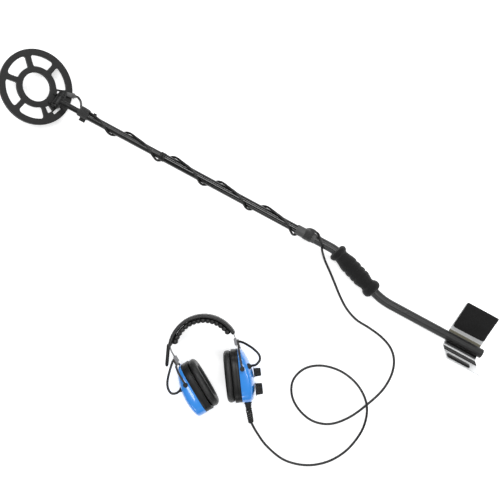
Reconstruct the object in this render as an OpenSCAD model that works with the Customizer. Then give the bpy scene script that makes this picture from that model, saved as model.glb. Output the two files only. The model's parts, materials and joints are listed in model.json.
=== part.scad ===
/* [Wand] */
// Distance from the coil pivot to the rear end of the handle tube
wand_len = 1243; // [1230:1:1260]
// Outer radius of the front rod
stem_r = 9.25; // [9:0.05:9.3]
// Outer radius of the middle tube
mid_r = 10.5; // [10.4:0.05:10.6]
// Outer radius of the handle tube
handle_r = 12; // [11.9:0.05:12.2]
// Radius of the cable that winds along the wand
cable_r = 3; // [2.5:0.1:3.2]
// Downward slope of the wand as it lies, in degrees
rod_slope = 1.137; // [1.1:0.001:1.2]

/* [Coil] */
// Outer radius of the search coil
coil_r = 95; // [92:1:98]
// Thickness of the coil housing with its cover
coil_t = 12; // [11:0.5:13]
// Width of each spoke
spoke_w = 13; // [10:1:15]
// Tilt of the coil about its bolt, in degrees
coil_pitch = 28.6; // [25:0.1:32]
// Twist of the coil and bolt about the wand, in degrees
coil_roll = 20; // [15:0.5:25]

/* [Handle] */
// Angle of the bend through the grip
bend_angle = 18.7; // [17:0.1:20]
// Length of the straight run between the two bends
bend_run = 135; // [133:1:137]
// Width of the base of the arm cuff
cuff_base = 44; // [42:1:46]
// Length of each cuff wing
cuff_wing = 90; // [80:1:92]
// Length of the cuff along the wand
cuff_len = 92; // [86:1:94]

/* [Headset] */
// Height of each ear cup
cup_h = 134; // [130:1:136]
// Width of each ear cup
cup_w = 100; // [98:1:101]
// Radius of the headband spring
band_r = 84.6; // [84:0.1:85]
// Radius of each control knob
knob_r = 11.5; // [10:0.5:12]
// Turn of the whole headset on the table, in degrees
headset_turn = 38.9; // [36:0.1:42]

/* [Hidden] */
$fn = 64;

// Where the coil pivot stands above the table
pivot_x = -551;
rod_y = 214.5;
pivot_z = 49.94;
// Clearance of a running fit, and the least gap between parts that pass
run = 0.05;
gap = 0.3;
// A straight run ends this far inside a bend, which is this much thicker
lap = 1;
skin = 0.05;

// Coil, measured from the pivot bolt
coil_setback = 59;
coil_drop = 22;
cover_t = 1.5;
ring_in = 0.838 * coil_r;
hub_out = 0.537 * coil_r;
hub_in = 0.384 * coil_r;
sector_from = -42;
sector_to = 33;
opening_angles = [-26, 24];
bolt_r = 4;
barrel_r = 10;
barrel_half = 10.2;
ear_in = 11.2;
ear_t = 4;
gland_angle = 25;
spoke_angles = [84, 140, 200, 262];

// Stations along the wand, measured from the pivot bolt
stem_front = 60;
stem_back = 350;
mid_front = 297;
mid_back = 725;
handle_front = 680;
collar_back = 734;
bend_start = 778;
bend_r1 = 80;
bend_r2 = 160;
strap_front = 58;
strap_len = 27;
rear_strap = 703;
rear_strap_len = 22;
winding_start = 66;
winding_pitch = 131;
winding_split = 542;
tube_wall = 1.2;
cable_gap = 0.6;
lead_gap = 0.4;
lead_room = 1;
wind_gap = 1;
wind_step = 5;

// Ends of the two bends
bend_p1 = [bend_start + bend_r1 * sin(bend_angle), -bend_r1 * (1 - cos(bend_angle))];
bend_p2 = bend_p1 + bend_run * [cos(bend_angle), -sin(bend_angle)];
bend_p3 = bend_p2 + bend_r2 * [sin(bend_angle), -(1 - cos(bend_angle))];

// Arm cuff
cuff_roll = 26.8;
cuff_fold = 46.8;
cuff_t = 2;
saddle_t = 3;
cuff_start = wand_len - cuff_len - 2;

// Headset, with the centre of its headband arc as origin
headset_x = 68;
headset_y = -163;
headset_z = 56;
pivot_right = [87.4, -57.6];
pivot_left = [-56.2, -70.8];
lean_right = 0;
lean_left = 20;
cup_turn_right = -4.5;
cup_turn_left = 19.9;
cup_mid = -22;
cross_cable_r = 3;
arc_half = 72;
shoulder_r_right = 40;
shoulder_r_left = 25;
strip_t = 1.2;
strip_w = 20;
leg_in = 51.5;
leg_t = 3;
bow_top = 70;
bow_r = 76;
pin_r = 3;
dome_r = 160;
dome_mid = -40;
shell_front = 26;
seam = -8;
back_front = -24;
pad_face = -46;
wall = 2.5;
upper_knob = [cup_mid + 3, 0];
front_knob = [cup_mid - 39, 23.5];
rear_knob = [cup_mid - 39, -23.5];

// Route of the free cord, from the rear strap to the spiral relief on the right cup
cord_route = [[174, 231, 39], [183, 229, 48], [193, 220, 54], [203, 208, 52], [212, 197, 41],
    [223, 187, 24], [238, 175, 9], [258, 160, 3.8], [284, 139, 3.2], [311, 117, 3.2],
    [341, 97, 3.2], [376, 84, 3.2], [416, 81, 3.2], [455, 75, 3.2], [489, 61, 3.2],
    [512, 36, 3.2], [523, 0, 3.2], [521, -44, 3.2], [505, -92, 3.2], [480, -144, 3.2],
    [445, -183, 3.2], [402, -198, 3.2], [358, -190, 3.2], [323, -166, 3.2],
    [307, -130, 3.2], [318, -91, 3.2], [350, -64, 3.2], [395, -52, 3.2], [440, -56, 4],
    [478, -73, 7.5], [505, -100, 9.8], [520, -136, 7], [523, -176, 3.4], [512, -226, 3.2],
    [484, -272, 3.2], [440, -306, 3.2], [384, -321, 3.2], [328, -311, 3.2],
    [288, -292, 3.2], [262, -275, 6.8]];
relief_route = [[262, -275, 6.8], [258, -269, 14], [252, -261, 28], [246, -252, 44],
    [240, -244.5, 54.5], [236, -239, 56]];
// Cables of the headset, in its own frame
cross_route_right = [[112, -56, 38], [122, -55, 41], [133, -46, 41], [134, -33, 38],
    [124, -18, 32], [111, -6, 24], [100, 2, 17], [90.2, 6, 12]];
cross_route_left = [[-76, -85, 38], [-84, -88, 41], [-95, -86, 42], [-101, -75, 40],
    [-101, -60, 36], [-96, -44, 30], [-88, -26, 20], [-80.6, -11.9, 12]];

function unit(v) = v / norm(v);
function spline(a, b, c, d, t) = 0.5 * (2 * b + (c - a) * t
    + (2 * a - 5 * b + 4 * c - d) * t * t + (3 * b - a - 3 * c + d) * t * t * t);
function smooth(p, n) = concat(
    [for (i = [0 : len(p) - 2]) for (k = [0 : n - 1])
        spline(p[max(i - 1, 0)], p[i], p[i + 1], p[min(i + 2, len(p) - 1)], k / n)],
    [p[len(p) - 1]]);
function to_table(p) = [
    pivot_x + p[0] * cos(rod_slope) + p[2] * sin(rod_slope),
    rod_y + p[1],
    pivot_z - p[0] * sin(rod_slope) + p[2] * cos(rod_slope)];
// The winding hurries behind the wand and takes its time in front
function wind_angle(s) = let (turn = 360 * (s - winding_start) / winding_pitch)
    turn - 41 * (1 - cos(turn));
function wind_radius(s) = cable_r + cable_gap + lookup(s, [[280, stem_r], [288, stem_r + 2.1],
    [306, stem_r + 2.1], [314, mid_r], [664, mid_r], [680, handle_r + 1]]);
function wind_point(s) = to_table([s, wind_radius(s) * cos(wind_angle(s)),
    wind_radius(s) * sin(wind_angle(s))]);
function winding(from, to) = let (n = round((to - from) / wind_step))
    [for (k = [0 : n]) wind_point(from + k * (to - from) / n)];
// Where the pivot of an ear cup lies: 1 is the right cup, -1 the left
function cup_pivot(side) = side > 0 ? pivot_right : pivot_left;

// Frames
module wand() {
    translate([pivot_x, rod_y, pivot_z]) rotate([0, rod_slope, 0]) children();
}
module along() {
    rotate([0, 90, 0]) children();
}
module coil_frame() {
    wand() rotate([-coil_roll, 0, 0]) rotate([0, coil_pitch, 0]) children();
}
module disc_frame() {
    coil_frame() translate([-coil_setback, 0, -coil_drop]) children();
}
module grip_frame() {
    wand() translate([bend_p1[0], bend_p1[1], 0]) rotate([0, 0, -bend_angle]) children();
}
module cuff_frame() {
    wand() translate([cuff_start, bend_p3[1], 0]) rotate([-cuff_roll, 0, 0]) children();
}
module headset() {
    translate([headset_x, headset_y, headset_z]) rotate([0, 0, headset_turn]) children();
}
module yoke_frame(side) {
    headset() translate([cup_pivot(side)[0], cup_pivot(side)[1], 0])
        rotate([0, 0, side > 0 ? lean_right : lean_left])
            mirror([side > 0 ? 0 : 1, 0, 0]) children();
}
module cup_frame(side) {
    headset() translate([cup_pivot(side)[0], cup_pivot(side)[1], 0])
        rotate([0, 0, side > 0 ? cup_turn_right : cup_turn_left])
            mirror([side > 0 ? 0 : 1, 0, 0]) children();
}

// General shapes
module rod(from, to, r) {
    translate([from, 0, 0]) along() cylinder(h = to - from, r = r);
}
module tube(from, to, outer, inner) {
    difference() {
        rod(from, to, outer);
        rod(from - 1, to + 1, inner);
    }
}
module sweep(path, r, sides) {
    last = len(path) - 1;
    points = [for (i = [0 : last])
        let (t = unit(path[min(i + 1, last)] - path[max(i - 1, 0)]),
            side = unit(cross(t, [0, 0, 1])),
            up = cross(side, t))
        for (k = [0 : sides - 1]) path[i] + r * (cos(360 * k / sides) * side + sin(360 * k / sides) * up)];
    walls = [for (i = [0 : last - 1]) for (k = [0 : sides - 1])
        let (a = i * sides + k, b = i * sides + (k + 1) % sides)
        each [[a, a + sides, b], [b, a + sides, b + sides]]];
    front = [for (k = [0 : sides - 1]) k];
    back = [for (k = [sides - 1 : -1 : 0]) last * sides + k];
    polyhedron(points = points, faces = concat(walls, [front, back]));
}
module ring_sector(inner, outer, from, to, h) {
    reach = outer * 1.5;
    middle = (from + to) / 2;
    intersection() {
        difference() {
            cylinder(h = h, r = outer);
            translate([0, 0, -1]) cylinder(h = h + 2, r = inner);
        }
        linear_extrude(height = h)
            polygon([[0, 0], for (a = [from, middle, to]) reach * [cos(a), sin(a)]]);
    }
}

// Search coil
module round_ring(inner, outer, h, edge) {
    rotate_extrude($fn = 96) {
        difference() {
            translate([inner, 0]) square([outer - inner, h]);
            translate([outer - edge, h - edge]) difference() {
                square(edge + 1);
                circle(r = edge);
            }
            translate([inner + edge, h - edge]) mirror([1, 0]) difference() {
                square(edge + 1);
                circle(r = edge);
            }
        }
    }
}
module ring_groove(inner, outer, depth) {
    difference() {
        translate([0, 0, -1]) cylinder(h = depth + 1, r = outer);
        translate([0, 0, -2]) cylinder(h = depth + 3, r = inner);
    }
}
module spokes(h) {
    for (a = spoke_angles)
        rotate([0, 0, a]) translate([(hub_in + hub_out) / 2, -spoke_w / 2, 0])
            cube([(ring_in + coil_r) / 2 - (hub_in + hub_out) / 2, spoke_w, h]);
}
module small_openings() {
    for (middle = opening_angles)
        translate([0, 0, -1]) ring_sector(hub_out + 3, 70, middle - 6, middle + 6, coil_t + 2);
}
module coil_ear(side) {
    y0 = side > 0 ? ear_in : -ear_in - ear_t;
    drop = coil_drop - coil_t / 2 + 1;
    translate([coil_setback, y0, coil_drop]) rotate([-90, 0, 0]) cylinder(h = ear_t, r = 11);
    translate([coil_setback - 11, y0, coil_drop - drop]) cube([22, ear_t, drop]);
}
module coil_housing() {
    h = coil_t - cover_t;
    color([0.2, 0.2, 0.21]) disc_frame() difference() {
        union() {
            translate([0, 0, coil_t / 2 - h]) {
                round_ring(ring_in, coil_r, h, 3);
                round_ring(hub_in, hub_out, h, 2);
                spokes(h - 1);
                difference() {
                    ring_sector(hub_out - 2, ring_in + 3, sector_from, sector_to, h - 0.5);
                    small_openings();
                }
            }
            coil_ear(1);
            coil_ear(-1);
        }
        translate([coil_setback, -20, coil_drop]) rotate([-90, 0, 0])
            cylinder(h = 40, r = bolt_r + run);
        translate([0, 0, coil_t / 2 - h]) {
            ring_groove(ring_in + 3, coil_r - 2.5, 8);
            ring_groove(hub_in + 2.5, hub_out - 3, 8);
        }
    }
}
module coil_cover() {
    color([0.13, 0.13, 0.14]) disc_frame() translate([0, 0, -coil_t / 2]) {
        difference() {
            cylinder(h = cover_t, r = coil_r - 0.5);
            translate([0, 0, -1]) cylinder(h = cover_t + 2, r = ring_in + 0.5);
        }
        difference() {
            cylinder(h = cover_t, r = hub_out - 0.5);
            translate([0, 0, -1]) cylinder(h = cover_t + 2, r = hub_in + 0.5);
        }
        for (a = spoke_angles)
            rotate([0, 0, a]) translate([hub_out - 2, -spoke_w / 2 + 0.5, 0])
                cube([ring_in - hub_out + 4, spoke_w - 1, cover_t]);
    }
}
module winding(inner, outer) {
    translate([0, 0, -coil_t / 2 + cover_t + 0.5]) difference() {
        cylinder(h = 6.5, r = outer);
        translate([0, 0, -1]) cylinder(h = 8.5, r = inner);
    }
}
module transmit_winding() {
    color([0.72, 0.4, 0.2]) disc_frame() winding(ring_in + 4, coil_r - 3.5);
}
module receive_winding() {
    color([0.72, 0.4, 0.2]) disc_frame() winding(hub_in + 3.5, hub_out - 4);
}
module coil_label() {
    color([0.92, 0.92, 0.9]) disc_frame() rotate([0, 0, -14])
        translate([72, -11, coil_t / 2 - 0.5]) cube([6.3, 22, 0.4]);
}
module coil_gland() {
    color([0.3, 0.3, 0.31]) disc_frame() rotate([0, 0, gland_angle])
        translate([0, 0, coil_t / 2 + 5.5]) {
            rod(76, 92, 5.5);
            rod(92, 97, 7);
            rod(97, 101, 4.5);
        }
}
module coil_bolt() {
    color([0.12, 0.12, 0.12]) coil_frame() rotate([90, 0, 0]) {
        translate([0, 0, -24]) cylinder(h = 24 + ear_in + ear_t, r = bolt_r);
        translate([0, 0, ear_in + ear_t]) cylinder(h = 5, r = 8);
    }
}
module coil_nut() {
    color([0.1, 0.1, 0.1]) coil_frame() rotate([-90, 0, 0]) difference() {
        union() {
            translate([0, 0, ear_in + ear_t + gap]) cylinder(h = 8, r = 9);
            for (a = [0 : 60 : 300]) rotate([0, 0, a])
                translate([8.2, 0, ear_in + ear_t + gap + 1]) cylinder(h = 7, r = 2.2, $fn = 24);
        }
        cylinder(h = 40, r = bolt_r + run);
    }
}
module coil_washers() {
    color([0.15, 0.15, 0.15]) coil_frame() for (side = [-1, 1])
        rotate([-90 * side, 0, 0]) translate([0, 0, barrel_half + 0.1]) difference() {
            cylinder(h = ear_in - barrel_half - 0.2, r = 9);
            translate([0, 0, -1]) cylinder(h = 3, r = bolt_r + run);
        }
}

// Front rod
module stem_tip() {
    color([0.1, 0.1, 0.1]) wand() difference() {
        union() {
            rotate([-coil_roll, 0, 0]) rotate([90, 0, 0])
                translate([0, 0, -barrel_half]) cylinder(h = 2 * barrel_half, r = barrel_r);
            rod(5, stem_front, 7.2);
            rod(stem_front - 4, stem_front + 30, stem_r - tube_wall);
        }
        rotate([-coil_roll, 0, 0]) rotate([90, 0, 0])
            translate([0, 0, -20]) cylinder(h = 40, r = bolt_r + run);
    }
}
module lower_stem() {
    color([0.13, 0.13, 0.14]) wand() tube(stem_front, stem_back, stem_r, stem_r - tube_wall);
}
module strap_outline(tube_radius, grow) {
    circle(r = tube_radius + grow);
    translate([0, tube_radius + cable_r + cable_gap]) circle(r = cable_r + 0.2 + grow);
}
module cable_strap(from, length, tube_radius, turn) {
    translate([from, 0, 0]) rotate([turn, 0, 0]) rotate([90, 0, 90])
        linear_extrude(height = length) rotate(-90) difference() {
            hull() strap_outline(tube_radius, 1.6);
            hull() strap_outline(tube_radius, 0.1);
        }
}
module front_cable_strap() {
    color([0.22, 0.22, 0.23]) wand() {
        cable_strap(strap_front, strap_len, stem_r, 5);
        translate([strap_front + 9, -19, -3]) cube([16, 8.2, 3]);
    }
}
module cable_clip() {
    color([0.1, 0.1, 0.1]) wand() translate([98, 0, 0]) rotate([90, 0, 180]) {
        translate([0, 0, stem_r - 0.02]) cylinder(h = 2.5, r = 3);
        translate([0, 0, stem_r + 2.4]) cylinder(h = 3.5, r = 4.5);
    }
}

// Middle tube
module middle_tube() {
    color([0.06, 0.06, 0.07]) wand() tube(mid_front, mid_back, mid_r, stem_r + run);
}
module tube_bush() {
    color([0.12, 0.12, 0.12]) wand() difference() {
        rod(mid_front - 7, mid_front + 7, mid_r + 0.8);
        rod(mid_front - 10, mid_front + 10, stem_r + run);
        rod(mid_front, mid_front + 10, mid_r);
    }
}

// Handle
module bend(radius, r) {
    rotate_extrude(angle = bend_angle, $fn = 96) translate([radius, 0]) circle(r = r);
}
module bent_rod(r, r_bend, over) {
    rod(handle_front - over, bend_start + lap, r);
    translate([bend_start, -bend_r1, 0]) rotate([0, 0, 90 - bend_angle]) bend(bend_r1, r_bend);
    translate([bend_p1[0], bend_p1[1], 0]) rotate([0, 0, -bend_angle])
        rod(-lap, bend_run + lap, r);
    translate([bend_p3[0], bend_p3[1] + bend_r2, 0]) rotate([0, 0, 270 - bend_angle])
        bend(bend_r2, r_bend);
    translate([0, bend_p3[1], 0]) rod(bend_p3[0] - lap, wand_len + over, r);
}
module handle_tube() {
    color([0.19, 0.19, 0.2]) wand() difference() {
        bent_rod(handle_r, handle_r + skin, 0);
        bent_rod(mid_r + run, mid_r + run - skin, 1);
    }
}
module tube_collar() {
    color([0.35, 0.35, 0.36]) wand() tube(handle_front, collar_back, handle_r + 1, handle_r);
}
module rear_cable_strap() {
    color([0.17, 0.17, 0.18]) wand()
        cable_strap(rear_strap, rear_strap_len, handle_r + 1, -27);
}
// Grip outline: distance along the handle and radius
grip_outline = [[-9.5, 12.6], [-10, 17], [-8, 21.5], [-3.5, 23.8], [1.5, 23.6], [5.5, 21.2], [8, 17.6],
    [14, 17.9], [24, 20.2], [34, 22.4], [40, 22.9], [44, 21.6], [45.8, 20.2], [48, 21.8], [53, 23],
    [58.5, 22.6], [62.6, 20], [64.5, 21.6], [69.5, 22.9], [74.5, 22.4], [78, 20.1], [80, 21.6],
    [84, 22.6], [90, 21.6], [98, 19.2], [106, 17.3], [109, 18.4], [112, 21.6], [117, 24],
    [123, 24.4], [128.5, 22.8], [132, 19], [133, 16], [133, 12.02], [0, 12.02], [0, 12.6]];
module grip_foam() {
    color([0.05, 0.05, 0.05]) grip_frame() along() rotate([0, 0, 90])
        rotate_extrude($fn = 96) polygon([for (p = grip_outline) [p[1], p[0]]]);
}
module end_plug() {
    color([0.08, 0.08, 0.08]) wand() translate([0, bend_p3[1], 0]) {
        rod(wand_len, wand_len + 3, handle_r);
        rod(wand_len - 12, wand_len, mid_r - 0.1);
    }
}

// Arm cuff, a folded plate under the tube
module cuff_section(t, from) {
    half = cuff_base / 2;
    for (side = [-1, 1])
        translate([side * half, 0]) rotate(side * cuff_fold)
            translate([side > 0 ? from : -cuff_wing, 0]) square([cuff_wing - from, t]);
}
module cuff_plate() {
    floor_y = -handle_r - saddle_t - cuff_t;
    half = cuff_base / 2;
    color([0.78, 0.79, 0.8]) cuff_frame() difference() {
        rotate([90, 0, 90]) linear_extrude(height = cuff_len) translate([0, floor_y]) {
            translate([-half, 0]) square([cuff_base, cuff_t]);
            cuff_section(cuff_t, 0);
            for (side = [-1, 1])
                translate([side * half, cuff_t]) circle(r = cuff_t, $fn = 32);
        }
        for (x = [20, cuff_len - 20])
            translate([x, 0, -40]) cylinder(h = 40, r = 2.6);
    }
}
module cuff_saddle() {
    color([0.09, 0.09, 0.09]) cuff_frame() difference() {
        translate([3, -15, -handle_r - saddle_t]) cube([cuff_len - 6, 30, 8]);
        rod(-1, cuff_len + 1, handle_r);
        for (x = [20, cuff_len - 20])
            translate([x, 0, -40]) cylinder(h = 40, r = 2.6);
    }
}
module cuff_screws() {
    color([0.5, 0.5, 0.52]) cuff_frame() for (x = [20, cuff_len - 20]) {
        translate([x, 0, -handle_r - saddle_t - cuff_t]) cylinder(h = 5, r = 2.5);
        translate([x, 0, -handle_r - saddle_t - cuff_t - 2]) cylinder(h = 2, r = 5);
    }
}
module cuff_pad(side, from, to, thick, x0, x1) {
    half = cuff_base / 2;
    color([0.04, 0.04, 0.04]) cuff_frame() translate([0, 0, -handle_r - saddle_t - cuff_t])
        translate([0, side * half, 0]) rotate([side * cuff_fold, 0, 0])
            translate([x0, side > 0 ? from : -to, cuff_t]) cube([x1 - x0, to - from, thick]);
}
module cuff_pad_wide() {
    cuff_pad(1, 13, cuff_wing + 6, 8, -1, cuff_len + 1);
}
module cuff_pad_narrow() {
    cuff_pad(-1, 60, 82, 6, 0, cuff_len - 26);
}

// Cables
function coil_to_wand(p) = let (
    x = p[0] * cos(coil_pitch) + p[2] * sin(coil_pitch),
    z = -p[0] * sin(coil_pitch) + p[2] * cos(coil_pitch))
    [x, p[1] * cos(coil_roll) + z * sin(coil_roll), -p[1] * sin(coil_roll) + z * cos(coil_roll)];
gland_end = coil_to_wand([101 * cos(gland_angle) - coil_setback, 101 * sin(gland_angle),
    coil_t / 2 + 5.5 - coil_drop]);
gland_out = coil_to_wand([cos(gland_angle), sin(gland_angle), 0]);
lead_route = [gland_end + lead_room * gland_out, gland_end + 6 * gland_out, [37, 29.5, -41],
    [44, 25, -32], [50, 20, -20], [55, 14.5, -9]];
module coil_lead() {
    path = concat([for (p = lead_route) to_table(p)], [wind_point(strap_front)]);
    color([0.05, 0.05, 0.05]) sweep(smooth(path, 3), cable_r, 10);
}
module wound_cable_front() {
    color([0.05, 0.05, 0.05])
        sweep(winding(strap_front, winding_split), cable_r, 8);
}
module wound_cable_rear() {
    path = concat(winding(winding_split + wind_gap, rear_strap + rear_strap_len - 6),
        [cord_route[0]]);
    color([0.05, 0.05, 0.05]) sweep(path, cable_r, 8);
}
module free_cord() {
    color([0.05, 0.05, 0.05]) sweep(smooth(cord_route, 2), cable_r, 10);
}
module spiral_relief() {
    color([0.04, 0.04, 0.04]) sweep(smooth(relief_route, 3), 6.5, 16);
}

// Headband
module band_arc(inner, outer, half, w) {
    translate([0, 0, -w / 2]) rotate([0, 0, 90 - half])
        rotate_extrude(angle = 2 * half, $fn = 128) translate([inner, 0]) square([outer - inner, w]);
}
module strip_end(shoulder, lean, straight, side) {
    start = [band_r * sin(arc_half), band_r * cos(arc_half)];
    mid = start - shoulder * [sin(arc_half), cos(arc_half)];
    turn = 90 - arc_half + lean;
    mirror([side > 0 ? 0 : 1, 0, 0]) translate([mid[0], mid[1], 0]) {
        translate([0, 0, -strip_w / 2 - skin]) rotate([0, 0, -lean])
            rotate_extrude(angle = turn, $fn = 128)
                translate([shoulder - strip_t / 2 - skin, 0])
                    square([strip_t + 2 * skin, strip_w + 2 * skin]);
        rotate([0, 0, -lean]) translate([shoulder - strip_t / 2, -straight, -strip_w / 2])
            cube([strip_t, straight + lap, strip_w]);
    }
}
module headband_spring() {
    color([0.45, 0.45, 0.46]) headset() {
        band_arc(band_r - strip_t / 2, band_r + strip_t / 2, arc_half + 0.7, strip_w);
        strip_end(shoulder_r_right, lean_right, 20, 1);
        strip_end(shoulder_r_left, lean_left, 30, -1);
    }
}
module headband_cover() {
    color([0.06, 0.06, 0.06]) headset() difference() {
        band_arc(80, 90, arc_half, 36);
        band_arc(band_r - strip_t / 2, band_r + strip_t / 2, arc_half + 2, strip_w);
    }
}
module headband_pad() {
    color([0.05, 0.05, 0.05]) headset() {
        band_arc(70, 80, 67, 32);
        for (a = [-63 : 9 : 63]) rotate([0, 0, 90 + a])
            translate([70, 0, -15.5]) cylinder(h = 31, r = 5.4);
    }
}
// The bow of a yoke, which clears the cup at every tilt
module bow_outline(grow) {
    translate([0, cup_mid]) intersection() {
        square(2 * [leg_in + grow, bow_top + grow], center = true);
        circle(r = bow_r + grow, $fn = 128);
    }
}
module yoke(side) {
    color([0.2, 0.19, 0.18]) yoke_frame(side) difference() {
        union() {
            rotate([0, 90, 0]) translate([0, 0, -2.5]) linear_extrude(height = 5) {
                intersection() {
                    difference() {
                        bow_outline(leg_t);
                        bow_outline(0);
                    }
                    translate([-90, -6]) square([180, 90]);
                }
                translate([-13, cup_mid + bow_top + 1]) square([26, 18]);
            }
            for (s = [-1, 1])
                translate([0, 0, s > 0 ? leg_in : -leg_in - leg_t]) cylinder(h = leg_t, r = 5.5);
        }
        translate([0, 0, -80]) cylinder(h = 160, r = pin_r);
    }
}
module yoke_right() {
    yoke(1);
}
module yoke_left() {
    yoke(-1);
}
module slider(side) {
    strip_x = -5;
    color([0.42, 0.42, 0.43]) yoke_frame(side) difference() {
        translate([-9, 55, -13]) cube([6.5, 16, 26]);
        translate([strip_x - strip_t / 2 - gap, 50, -strip_w / 2 - gap])
            cube([strip_t + 2 * gap, 30, strip_w + 2 * gap]);
    }
}
module slider_right() {
    slider(1);
}
module slider_left() {
    slider(-1);
}
module pivot_pins(side) {
    color([0.07, 0.07, 0.07]) yoke_frame(side) for (s = [-1, 1]) mirror([0, 0, s < 0 ? 1 : 0]) {
        translate([0, 0, 44]) cylinder(h = leg_in + leg_t - 44, r = pin_r);
        translate([0, 0, leg_in + leg_t]) cylinder(h = 1.5, r = 6);
    }
}
module pivot_pins_right() {
    pivot_pins(1);
}
module pivot_pins_left() {
    pivot_pins(-1);
}

// Ear cups: x runs out of the head, y up the cup
module cup_outline(inset) {
    intersection() {
        square([cup_w - 2 * inset, cup_h - 2 * inset], center = true);
        circle(r = 73 - inset, $fn = 128);
    }
}
module cup_slab(from, to, inset) {
    translate([from, cup_mid, 0]) rotate([0, 90, 0]) linear_extrude(height = to - from)
        cup_outline(inset);
}
module cup_shell(side, knobs) {
    color([0.2, 0.55, 0.9]) cup_frame(side) difference() {
        intersection() {
            cup_slab(seam, 40, 0);
            translate([shell_front - dome_r, dome_mid, 0]) sphere(r = dome_r, $fn = 128);
        }
        difference() {
            intersection() {
                cup_slab(seam - 1, 38, wall);
                translate([shell_front - dome_r, dome_mid, 0])
                    sphere(r = dome_r - wall, $fn = 128);
            }
            for (s = [-1, 1])
                translate([0, 0, s > 0 ? 43 : -50]) cylinder(h = 7, r = 6.5);
        }
        for (s = [-1, 1])
            translate([0, 0, s > 0 ? 40 : -60]) cylinder(h = 20, r = pin_r + run);
        if (knobs) for (k = [upper_knob, front_knob, rear_knob])
            translate([5, k[0], k[1]]) along() cylinder(h = 40, r = 3.6);
    }
}
module cup_shell_right() {
    cup_shell(1, true);
}
module cup_shell_left() {
    cup_shell(-1, false);
}
module cup_back(side) {
    color([0.05, 0.05, 0.05]) cup_frame(side) difference() {
        cup_slab(back_front, seam, 0.8);
        cup_slab(back_front + 2.5, seam + 1, wall + 0.8);
        for (u = [-12 : 6 : 12]) for (w = [-12 : 6 : 12])
            translate([back_front - 1, cup_mid + u, w]) along() cylinder(h = 5, r = 1.6, $fn = 16);
    }
}
module cup_back_right() {
    cup_back(1);
}
module cup_back_left() {
    cup_back(-1);
}
module ear_pad(side) {
    color([0.04, 0.04, 0.04]) cup_frame(side) difference() {
        cup_slab(pad_face, back_front, 1);
        cup_slab(pad_face - 1, back_front + 1, 26);
    }
}
module ear_pad_right() {
    ear_pad(1);
}
module ear_pad_left() {
    ear_pad(-1);
}
module speaker(side) {
    color([0.3, 0.3, 0.3]) cup_frame(side) translate([back_front + 2.5, cup_mid, 0]) along() {
        cylinder(h = 5, r = 20);
        translate([0, 0, 5]) cylinder(h = 5, r = 11);
    }
}
module speaker_right() {
    speaker(1);
}
module speaker_left() {
    speaker(-1);
}
module circuit_board() {
    color([0.1, 0.4, 0.2]) cup_frame(1) translate([-4.5, -78, -36]) cube([1.6, 80, 72]);
}
module battery() {
    color([0.6, 0.6, 0.62]) cup_frame(1) translate([back_front + 2.5, 3, -24]) cube([16, 26, 48]);
}
module potentiometers() {
    color([0.5, 0.5, 0.5]) cup_frame(1) for (k = [upper_knob, front_knob, rear_knob])
        translate([-2.9, k[0], k[1]]) along() difference() {
            cylinder(h = 14, r = 8);
            translate([0, 0, 3]) cylinder(h = 12, r = pin_r + run);
        }
}
module knob(k) {
    base = shell_front + gap;
    color([0.04, 0.04, 0.04]) cup_frame(1) translate([0, k[0], k[1]]) {
        rod(base, base + 3, knob_r + 1);
        rod(base + 3, base + 18, knob_r - 1);
        for (a = [0 : 30 : 330]) rotate([a, 0, 0]) translate([0, knob_r - 1.5, 0])
            rod(base + 3, base + 17, 1.5, $fn = 24);
        rod(2, base, pin_r);
    }
}
module knob_upper() {
    knob(upper_knob);
}
module knob_front() {
    knob(front_knob);
}
module knob_rear() {
    knob(rear_knob);
}
module cross_cable_right() {
    color([0.05, 0.05, 0.05]) headset() sweep(smooth(cross_route_right, 3), cross_cable_r, 8);
}
module cross_cable_left() {
    color([0.05, 0.05, 0.05]) headset() sweep(smooth(cross_route_left, 3), cross_cable_r, 8);
}
// A tapered grommet that ends just before a cable starts
module grommet(route) {
    out = unit(route[1] - route[0]);
    yaw = atan2(out[1], out[0]);
    dip = -asin(out[2]);
    color([0.05, 0.05, 0.05]) headset() translate(route[0]) rotate([0, dip, yaw]) along()
        translate([0, 0, -12 - lead_gap]) cylinder(h = 12, r1 = 6, r2 = 3.2);
}
module cable_grommet_right() {
    grommet(cross_route_right);
}
module cable_grommet_left() {
    grommet(cross_route_left);
}
module cord_boot() {
    color([0.05, 0.05, 0.05]) cup_frame(1) translate([4, cup_mid - cup_h / 2 + 0.02, 0])
        rotate([90, 0, 0]) {
            cylinder(h = 6, r = 9);
            translate([0, 0, 6]) cylinder(h = 12, r1 = 8, r2 = 6.6);
        }
}

coil_housing();
coil_cover();
transmit_winding();
receive_winding();
coil_label();
coil_gland();
coil_bolt();
coil_nut();
coil_washers();
stem_tip();
lower_stem();
front_cable_strap();
cable_clip();
middle_tube();
tube_bush();
handle_tube();
tube_collar();
rear_cable_strap();
grip_foam();
end_plug();
cuff_saddle();
cuff_plate();
cuff_screws();
cuff_pad_wide();
cuff_pad_narrow();
coil_lead();
wound_cable_front();
wound_cable_rear();
free_cord();
spiral_relief();
cord_boot();
headband_spring();
headband_cover();
headband_pad();
yoke_right();
yoke_left();
slider_right();
slider_left();
pivot_pins_right();
pivot_pins_left();
cup_shell_right();
cup_shell_left();
cup_back_right();
cup_back_left();
ear_pad_right();
ear_pad_left();
speaker_right();
speaker_left();
circuit_board();
battery();
potentiometers();
knob_upper();
knob_front();
knob_rear();
cross_cable_right();
cross_cable_left();
cable_grommet_right();
cable_grommet_left();
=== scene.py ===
"""The looks of a metal detector with control headphones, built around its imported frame.

Metres, +X along the wand from the search coil to the arm cuff, +Z up from the table.
"""
import json
import math

import bmesh
import bpy
from mathutils import Matrix, Vector, noise


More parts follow.
